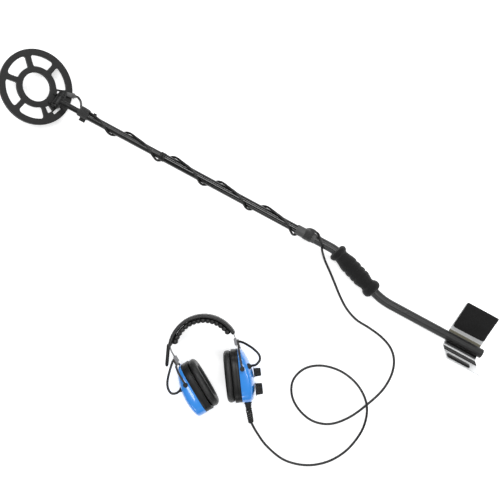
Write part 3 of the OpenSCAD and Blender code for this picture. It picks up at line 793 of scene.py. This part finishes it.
def window(start, end, half_start, half_end, inner, outer, r_outer, r_inner):
    """A ring-sector window between two spokes of those half widths, with rounded corners."""
    def edge(angle, half, u):
        c, s = math.cos(math.radians(angle)), math.sin(math.radians(angle))
        return (u * c - half * s, u * s + half * c)

    def reach(r, half):
        return math.sqrt(r * r - half * half)

    def arc(r, a, b):
        return [polar(r, a + (b - a) * k / 20) for k in range(21)]

    def lean(r, half, radius):
        return math.degrees(math.asin(half / r) + radius / r)

    out = arc(outer, start + lean(outer, half_start, r_outer), end - lean(outer, half_end, r_outer))
    out += corner(out[-1], edge(end, -half_end, reach(outer, half_end)),
                  edge(end, -half_end, reach(outer, half_end) - r_outer))
    inner_arc = arc(inner, end - lean(inner, half_end, r_inner), start + lean(inner, half_start, r_inner))
    out += corner(edge(end, -half_end, reach(inner, half_end) + r_inner),
                  edge(end, -half_end, reach(inner, half_end)), inner_arc[0])
    out += inner_arc
    out += corner(inner_arc[-1], edge(start, half_start, reach(inner, half_start)),
                  edge(start, half_start, reach(inner, half_start) + r_inner))
    out += corner(edge(start, half_start, reach(outer, half_start) - r_outer),
                  edge(start, half_start, reach(outer, half_start)),
                  polar(outer, start + lean(outer, half_start, r_outer)))
    return out


def ring(radius, count):
    return [(radius * math.cos(t), radius * math.sin(t)) for t in circle(count)]


bounds = [(SECTOR_TO, 0), *((a, SPOKE_W / 2) for a in SPOKES), (360 + SECTOR_FROM, 0)]
outlines = [ring(COIL_R, 160), ring(HUB_IN, 96)]
for (a, half_a), (b, half_b) in zip(bounds, bounds[1:]):
    outlines.append(window(a, b, half_a, half_b, HUB_OUT, RING_IN, 9, 5))
for middle in OPENINGS:
    outlines.append(window(middle - 6, middle + 6, 0, 0, HUB_OUT + 3, 70, 2, 1.5))
housing_parts = [plate("disc", outlines, COIL_T - COVER_T, 1.8, DISC @ shift(0, 0, COVER_T - COIL_T / 2))]
EAR_R = 11
foot = COIL_T / 2 - 1
arch = [(COIL_SETBACK + EAR_R * math.cos(t), COIL_DROP + EAR_R * math.sin(t)) for t in circle(48)[:25]]
ear = arch + [(COIL_SETBACK - EAR_R, foot), (COIL_SETBACK + EAR_R, foot)]
hole = [(COIL_SETBACK + x, COIL_DROP + y) for x, y in ring(4.05, 32)]
for y in (-EAR_IN, EAR_IN + EAR_T):
    upright = DISC @ shift(0, y, 0) @ turn(90, "X")
    housing_parts.append(plate("ear", [ear, hole], EAR_T, 0.6, upright))
    web = rounded_box(COIL_SETBACK - 16, foot, COIL_SETBACK + 11.5, foot + 5, (0.5, 0.5, 1, 3))
    housing_parts.append(plate("web", [web], EAR_T, 0.6, upright))
housing = join("coil_housing_shell", housing_parts)
housing.modifiers.new("even shading", "WEIGHTED_NORMAL").keep_sharp = True
dress(housing, "coil", "coil_plastic", "coil_housing")

label_frame = DISC @ shift(0, 0, COIL_T / 2 - 0.05) @ turn(-14, "Z")
film = plate("coil_label_film", [rounded_box(71.6, -11.4, 78.6, 11.4, (1,) * 4)], 0.4, 0.1, label_frame)
dress(film, "coil", "label", "coil_label")

head_profile = [(0, 3.9), (0, 7.6), (0.6, 8), (4, 8), (5, 7), (5, 3)]
bolt_frame = COIL @ turn(-90, "Z") @ shift(EAR_IN + EAR_T, 0, 0)
bolt_head = lathe("coil_bolt_head", head_profile, bolt_frame, 72, 12, 0.7, (1, 2, 3, 4))
dress(bolt_head, "coil", "black_plastic")


# ---------------------------------------------------------------- straps and rod details

STRAP_SPREAD = 0.62


def strap_reach(t, tube_r, thick):
    """How far a band round a tube and its cable stands from the axis, t round from the cable."""
    off = (t + math.pi) % (2 * math.pi) - math.pi
    lift = math.exp(-(off / STRAP_SPREAD) ** 4)
    return tube_r + thick + (2 * CABLE_R + CABLE_GAP) * lift


def strap(node, start, length, tube_r, body):
    """A hook-and-loop band that follows the cable, drawn tight."""
    rows = []
    steps = 14
    for k in range(steps + 1):
        s = start + length * k / steps
        cable = cable_angle(s)
        thick = 0.85 if k in (0, steps) else 1.2
        row = []
        for t in circle(72):
            r = strap_reach(t, tube_r, thick)
            row.append(put(WAND, s, r * math.cos(t + cable), r * math.sin(t + cable)))
        rows.append(row)
    band = loft(node + "_band", rows, caps=False)
    wall = band.modifiers.new("wall", "SOLIDIFY")
    wall.thickness = 1.0 * MM
    wall.offset = -1
    dress(band, body, "strap_weave", node)


strap("front_cable_strap", STRAP_FRONT, STRAP_LEN, STEM_R, "lower_stem")
tab = rounded_box(STRAP_FRONT + 9, -19, STRAP_FRONT + 25, -8.5, (0.5, 0.5, 3, 3))
dress(plate("front_cable_strap_band_tab", [tab], 2.2, 0.7, WAND @ shift(0, 0, -1.5)), "lower_stem",
      "strap_weave")
strap("rear_cable_strap", REAR_STRAP, REAR_STRAP_LEN, HANDLE_R + 1, "handle")

clip_frame = WAND @ shift(98, 0, 0) @ turn(90, "Z")
clip = join("cable_clip_screw", [
    lathe("shaft", [(STEM_R - 0.4, 3), (STEM_R + 2.6, 3)], clip_frame, 32),
    lathe("head", [(STEM_R + 2.2, 4.2), (STEM_R + 2.6, 4.5), (STEM_R + 5.2, 4.5), (STEM_R + 5.9, 3.9)],
          clip_frame, 48, 4, 0.9, (0, 1, 2, 3))])
dress(clip, "lower_stem", "black_plastic", "cable_clip")

bush_profile = [(290, STEM_R + 0.1), (290, 10.9), (290.8, 11.3), (293, 11.3), (293.4, 11), (295.4, 11),
                (295.8, 11.3), (303.2, 11.3), (304, 10.9), (304, MID_R + 0.02)]
dress(lathe("tube_bush_ring", bush_profile, WAND), "middle_tube", "black_plastic", "tube_bush")

collar_profile = [(680, 12.02), (680, 12.7), (680.6, 13), (684, 13), (684.5, 12.8), (686, 12.8),
                  (686.5, 13), (728, 13), (728.5, 12.8), (730, 12.8), (730.5, 13), (733.4, 13),
                  (734, 12.7), (734, 12.02)]
dress(lathe("tube_collar_sleeve", collar_profile, WAND), "handle", "collar_grey", "tube_collar")


# ---------------------------------------------------------------- handle

# Outline of the grip: distance along the handle and radius
GRIP_OUTLINE = [(-9.5, 12.3), (-10, 17), (-8, 21.5), (-3.5, 23.8), (1.5, 23.6), (5.5, 21.2),
                (8, 17.6), (14, 17.9), (24, 20.2), (34, 22.4), (40, 22.9), (44, 21.6), (45.8, 20.2),
                (48, 21.8), (53, 23), (58.5, 22.6), (61.4, 21.2), (62.6, 20), (64.5, 21.6),
                (69.5, 22.9), (74.5, 22.4), (76.8, 21.2), (78, 20.1), (80, 21.6), (84, 22.6),
                (90, 21.6), (98, 19.2), (106, 17.3), (109, 18.4), (112, 21.6), (117, 24),
                (123, 24.4), (128.5, 22.8), (132, 19), (133.2, 16), (133, 12.2)]
grip_rows = []
for x, r in GRIP_OUTLINE:
    row = []
    for t in circle(72):
        lump = 0.35 * noise.noise(Vector((x * 0.09, 2.2 * math.cos(t), 2.2 * math.sin(t))))
        row.append(put(GRIP, x, (r + lump) * math.cos(t), (r + lump) * math.sin(t)))
    grip_rows.append(row)
grip = loft("grip_foam_sleeve", grip_rows)
finer = grip.modifiers.new("finer", "SUBSURF")
finer.levels = finer.render_levels = 1
dress(grip, "handle", "foam", "grip_foam")

tail = WAND @ shift(0, TAIL_Y, 0)
plug_profile = [(WAND_LEN - 12, 8), (WAND_LEN - 12, 10.3), (WAND_LEN, 10.3), (WAND_LEN, 11.9),
                (WAND_LEN + 1.6, 12), (WAND_LEN + 2.6, 11.4), (WAND_LEN + 3, 10), (WAND_LEN + 2.4, 6)]
dress(lathe("end_plug_cap", plug_profile, tail), "handle", "rubber", "end_plug")


# ---------------------------------------------------------------- arm cuff

CUFF_METAL = 2


def cuff_piece(name, side, box, radii, thick, bevel):
    """A flat piece on a cuff wing. box is along the wand and out along the wing, twice."""
    outline = [(x, side * y) for x, y in rounded_box(*box, radii)]
    fold = CUFF @ shift(0, side * CUFF_BASE / 2, CUFF_FLOOR) @ turn(side * CUFF_FOLD, "X")
    return plate(name, [outline], thick, bevel, fold @ shift(0, 0, CUFF_METAL))


wide = cuff_piece("cuff_pad_wide_foam", 1, (0, 18, CUFF_LEN, CUFF_WING + 5), (9, 9, 1, 1), 7, 1.6)
dress(puff(wide, 4, 1.2, 2), "handle", "foam", "cuff_pad_wide")
narrow = cuff_piece("cuff_pad_narrow_foam", -1, (1, 61, CUFF_LEN - 27, 81), (3,) * 4, 5.4, 1.4)
dress(puff(narrow, 3, 0.8, 2), "handle", "foam", "cuff_pad_narrow")
for name, side, y0, y1 in (("cuff_tape_wide", 1, 1, 8.5), ("cuff_tape_narrow", -1, 2, 4.5)):
    tape = cuff_piece(name, side, (0.5, y0, CUFF_LEN - 0.5, y1), (0.5,) * 4, 1.6, 0.4)
    dress(tape, "handle", "strap_weave", look=KHAKI)
# A dark foam strip on the narrow wing, running along the wand beside its khaki tape
dark_strip = cuff_piece("cuff_tape_inner", -1, (0.5, 4.6, CUFF_LEN - 0.5, 30), (0.5,) * 4, 2.2, 0.5)
dress(dark_strip, "handle", "foam")


# ---------------------------------------------------------------- ear cups

def superellipse(t, inset, power=3.4):
    """A point of the cup's outline drawn in by inset, up the cup and across it from its middle."""
    return (squared(math.sin(t), 2 / power) * (CUP_HALF_Y - inset),
            squared(math.cos(t), 2 / power) * (CUP_HALF_Z - inset))


def dome(y, z):
    return DOME_FRONT - DOME_R + math.sqrt(DOME_R ** 2 - (y - DOME_MID) ** 2 - z * z)


CUP_SIDES = 128


def cup_ring(matrix, inset, height, lift=None):
    """A ring of the cup's outline drawn in by inset, at x = height or lift(y, z)."""
    row = []
    for t in circle(CUP_SIDES):
        y, z = superellipse(t, inset)
        y += CUP_MID
        row.append(put(matrix, lift(y, z) if lift else height, y, z))
    return row


def build_cup(side, body):
    matrix = cup_frame(side)
    rows = [cup_ring(matrix, 2.6, SEAM + 1.2), cup_ring(matrix, 2.6, SEAM), cup_ring(matrix, 0.4, SEAM),
            cup_ring(matrix, 0, SEAM + 0.5)]
    for inset, below in ((0, 7.2), (0.2, 5.4), (0.9, 3.7), (2.2, 2.3), (4.2, 1.2), (7, 0.5), (11, 0.12),
                         (17, 0), (25, 0), (34, 0), (43, 0), (48.5, 0)):
        rows.append(cup_ring(matrix, inset, 0,
                             lambda y, z, b=below: max(dome(y, z) - b, SEAM + 0.6 + (7.2 - b) * 0.3)))
    shell = loft(f"cup_shell_{SIDES[side]}_gloss", rows)
    dress(shell, body, "blue_gloss", f"cup_shell_{SIDES[side]}")
    back_rows = [cup_ring(matrix, 3.2, SEAM - 0.2), cup_ring(matrix, 1.2, SEAM - 0.2)]
    back_rows += [cup_ring(matrix, i, x) for i, x in (
        (0.9, SEAM - 0.6), (0.9, SEAM - 6), (1.6, SEAM - 6.6), (1.6, SEAM - 8), (0.9, SEAM - 8.6),
        (0.9, BACK_FRONT + 1), (1.6, BACK_FRONT + 0.2), (4, BACK_FRONT), (24, BACK_FRONT), (44, BACK_FRONT))]
    back = loft(f"cup_back_{SIDES[side]}_frame", back_rows)
    dress(back, body, "black_plastic", f"cup_back_{SIDES[side]}")
    grille = []
    for inset, x in ((26, BACK_FRONT + 0.1), (26.5, BACK_FRONT - 0.9), (30, BACK_FRONT - 1.3),
                     (40, BACK_FRONT - 1.7), (47, BACK_FRONT - 1.8)):
        grille.append(cup_ring(matrix, inset, x))
    dress(loft(f"ear_cloth_{SIDES[side]}", grille), body, "strap_weave")


def build_ear_pad(side, body):
    """A stuffed ring of vinyl: outline of the cup, section a soft rounded square with a seam."""
    matrix = cup_frame(side)
    rows = []
    half_w, half_d, middle = 12.0, 10.2, (PAD_FACE + BACK_FRONT) / 2
    for t in circle(112):
        y, z = superellipse(t, 14, 3.0)
        next_y, next_z = superellipse(t + 0.01, 14, 3.0)
        along = Vector((next_y - y, next_z - z)).normalized()
        out = Vector((along.y, -along.x))
        if out.dot(Vector((y, z))) < 0:
            out = -out
        row = []
        for a in circle(28):
            c = math.cos(a)
            w = squared(c, 0.75) * half_w
            d = squared(math.sin(a), 0.75) * half_d
            crease = noise.noise(Vector((14 * math.cos(t), 14 * math.sin(t), c)))
            if c < 0:
                w += 0.9 * crease
            row.append(put(matrix, middle - d, CUP_MID + y + out.x * w, z + out.y * w))
        rows.append(row)
    pad = loft(f"ear_pad_{SIDES[side]}_cushion", rows, wrap=True)
    dress(puff(pad, 3.5, 1.6, 4), body, "pad_leather", f"ear_pad_{SIDES[side]}")
    piping = []
    for t in circle(CUP_SIDES):
        y, z = superellipse(t, 1.6)
        piping.append(put(matrix, BACK_FRONT - 0.7, CUP_MID + y, z))
    rows = []
    out = matrix.to_3x3() @ Vector((1, 0, 0))
    for i, point in enumerate(piping):
        ahead = (piping[(i + 1) % CUP_SIDES] - piping[i - 1]).normalized()
        across = ahead.cross(out)
        rows.append([point + 1.0 * MM * (math.cos(a) * out + math.sin(a) * across) for a in circle(10)])
    dress(loft(f"ear_pad_{SIDES[side]}_piping", rows, wrap=True), body, "pad_leather")


def grommet(side, body):
    """A round-nosed bush where a headset cable leaves the cup."""
    start, onward = (put(HEADSET, *p) for p in CROSS_ROUTES[side][:2])
    matrix = Matrix.Translation(start) @ (onward - start).to_track_quat("X", "Z").to_matrix().to_4x4()
    profile = [(-12.4, 6), (-11, 8), (-9.6, 8.3), (-8.2, 8), (-6, 6.9), (-4.4, 5.4), (-3.2, 4.2),
               (-1.6, 3.5), (-0.4, 3.1), (-0.4, 2.1)]
    name = f"cable_grommet_{SIDES[side]}"
    dress(lathe(name + "_bush", profile, matrix, 40), body, "rubber", name)


for side, body in ((1, "handle"), (-1, "left_cup")):
    build_cup(side, body)
    build_ear_pad(side, body)
    grommet(side, body)

# Knobs, with white pointer lines, and numbers round them
control = cup_frame(1)
knob_profile = [(0, 5), (0, 12.2), (0.5, 12.5), (1.8, 12.5), (2.6, 11.6), (3, 10.8), (15.5, 10.1),
                (17.2, 9.6), (18, 8.6), (17.8, 7.6), (17.7, 2)]
for name, (y, z, points_to) in KNOBS.items():
    at = control @ shift(KNOB_BASE, y, z)
    body = lathe(f"knob_{name}_grip", knob_profile, at, 96, 24, 0.8, (4, 5, 6, 7))
    dress(body, f"knob_{name}", "knob_black", f"knob_{name}")
    # The pointer turns clockwise from the top of the cup, seen from outside
    facing = at @ shift(17.6, 0, 0) @ turn(points_to, "X") @ turn(90, "Y")
    mark = rounded_box(-0.8, 1.5, 0.8, 8.8, (0.3,) * 4)
    line = plate(f"knob_{name}_pointer", [mark], 0.5, 0.12, facing)
    dress(line, f"knob_{name}", "knob_black", look=WHITE_INK)


def numeral(text, size):
    """The mesh of one number, flat, centred on the origin."""
    font = bpy.data.curves.new("number", "FONT")
    font.body = text
    font.size = size * MM
    font.align_x = "CENTER"
    font.align_y = "CENTER"
    font.extrude = 0.12 * MM
    holder = add_object("number", font)
    data = as_mesh(holder)
    bpy.data.objects.remove(holder)
    return data


dial = bmesh.new()
for y, z, _ in KNOBS.values():
    for k in range(11):
        angle = math.radians(NUMBER_STEP * (k - 5))
        start = len(dial.verts)
        dial.from_mesh(numeral(str(k), NUMBER_SIZE))
        dial.verts.ensure_lookup_table()
        for vert in dial.verts[start:]:
            right, up, lift = vert.co / MM
            number_y = y + NUMBER_R * math.cos(angle) + up
            number_z = z - NUMBER_R * math.sin(angle) - right
            vert.co = put(control, dome(number_y, number_z) + 0.1 + lift, number_y, number_z)
bmesh.ops.recalc_face_normals(dial, faces=dial.faces)
dress(finish_mesh("dial_numbers", dial), "handle", "blue_gloss", look=DARK_INK)

boot_frame = control @ shift(4, CUP_MID - CUP_HALF_Y, 0) @ turn(-90, "Z")
boot_profile = [(-1.5, 9), (0.4, 9.2), (1, 9.6), (5.4, 9.6), (6, 9), (6.2, 7.9), (7.4, 7.9), (7.8, 8.4),
                (10, 8.2), (10.4, 7.5), (11.6, 7.4), (12, 7.9), (14.2, 7.6), (14.6, 6.9), (15.8, 6.8),
                (16.2, 7.2), (18, 6.9), (18.3, 6.2), (18.3, 3.1)]
boot = lathe("cord_boot_sleeve", boot_profile, boot_frame, 48, 8, 0.5, (1, 2, 3, 4))
dress(boot, "handle", "rubber", "cord_boot")


# ---------------------------------------------------------------- headband

def band_point(degrees, r, z):
    """Degrees from the top of the band, positive towards the right cup, then radius and height."""
    a = math.radians(degrees)
    return put(HEADSET, r * math.sin(a), r * math.cos(a), z)


COVER_STEPS = 120
cover_rows = []
for k in range(COVER_STEPS + 1):
    share = 2 * k / COVER_STEPS - 1
    a = share * BAND_HALF
    pinch = 1 - 0.35 * max(0, (abs(share) - 0.965) / 0.035) ** 2
    row = []
    for t in circle(36):
        c = math.cos(t)
        radial = squared(c, 0.55) * 4.9 * pinch
        z = squared(math.sin(t), 0.4) * 17.6 * (1 - 0.25 * (1 - pinch))
        ruck = 0.35 * noise.noise(Vector((a * 0.22, t * 1.4, 3.1)))
        groove = 0.5 * math.exp(-((abs(z) - STITCH_Z) / 0.7) ** 2) if c > 0 else 0
        row.append(band_point(a, COVER_R + radial + ruck - groove, z))
    cover_rows.append(row)
dress(loft("headband_cover_skin", cover_rows), "headband", "band_leather", "headband_cover")

stitch_arch = [(-0.75, -0.35), (-0.3, 0.1), (0.3, 0.1), (0.75, -0.35)]
stitches = []
for z in (-STITCH_Z, STITCH_Z):
    for k in range(STITCHES):
        a = STITCH_HALF * (2 * k / (STITCHES - 1) - 1)
        path = [band_point(a + along, COVER_R + 4.8 + lift, z) for along, lift in stitch_arch]
        stitches.append(sweep("stitch", path, 0.28, 6))
dress(join("headband_stitches", stitches), "headband", "band_leather")

LOBES, LOBE_STEPS, PAD_HALF = 15, 12, 67.5
pad_rows = []
for k in range(LOBES * LOBE_STEPS + 1):
    a = -PAD_HALF + 2 * PAD_HALF * k / (LOBES * LOBE_STEPS)
    lobe = abs(math.sin(math.pi * k / LOBE_STEPS)) ** 0.5
    end = min(1, (PAD_HALF - abs(a)) / 2.5 + 0.25)
    row = []
    for t in circle(28):
        c, s = math.cos(t), math.sin(t)
        wrinkle = 0.5 * noise.noise(Vector((a * 0.5, c * 2, s * 2)))
        deep = 4.4 + 3.6 * lobe * end if c < 0 else 4.4
        radial = squared(c, 0.6) * (deep + wrinkle)
        z = squared(s, 0.6) * (12.6 + 2.8 * lobe * end + wrinkle)
        row.append(band_point(a, PAD_R + radial, z))
    pad_rows.append(row)
band_pad = dress(loft("headband_pad_lobes", pad_rows), "headband", "pad_leather", "headband_pad")

# A stub that hangs from the left end of the cover
stub_frame = HEADSET @ shift(-85.5, 27, 0) @ turn(-105.4, "Z")
stub_profile = [(-4, 2), (-3, 3.4), (0, 4.4), (46, 4.4), (50, 3.8), (52.2, 2.6), (53, 1)]
dress(lathe("headband_stub", stub_profile, stub_frame, 32), "headband", "black_plastic")

for side, cup_body, yoke_body in ((1, "handle", "right_yoke"), (-1, "left_cup", "left_yoke")):
    path = [HEADSET @ p for p in smooth(CROSS_ROUTES[side], 8)]
    name = f"cross_cable_{SIDES[side]}"
    cable = dress(sweep(name + "_jacket", path, CROSS_CABLE_R, 14), None, "cord_jacket", name)
    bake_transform(cable)
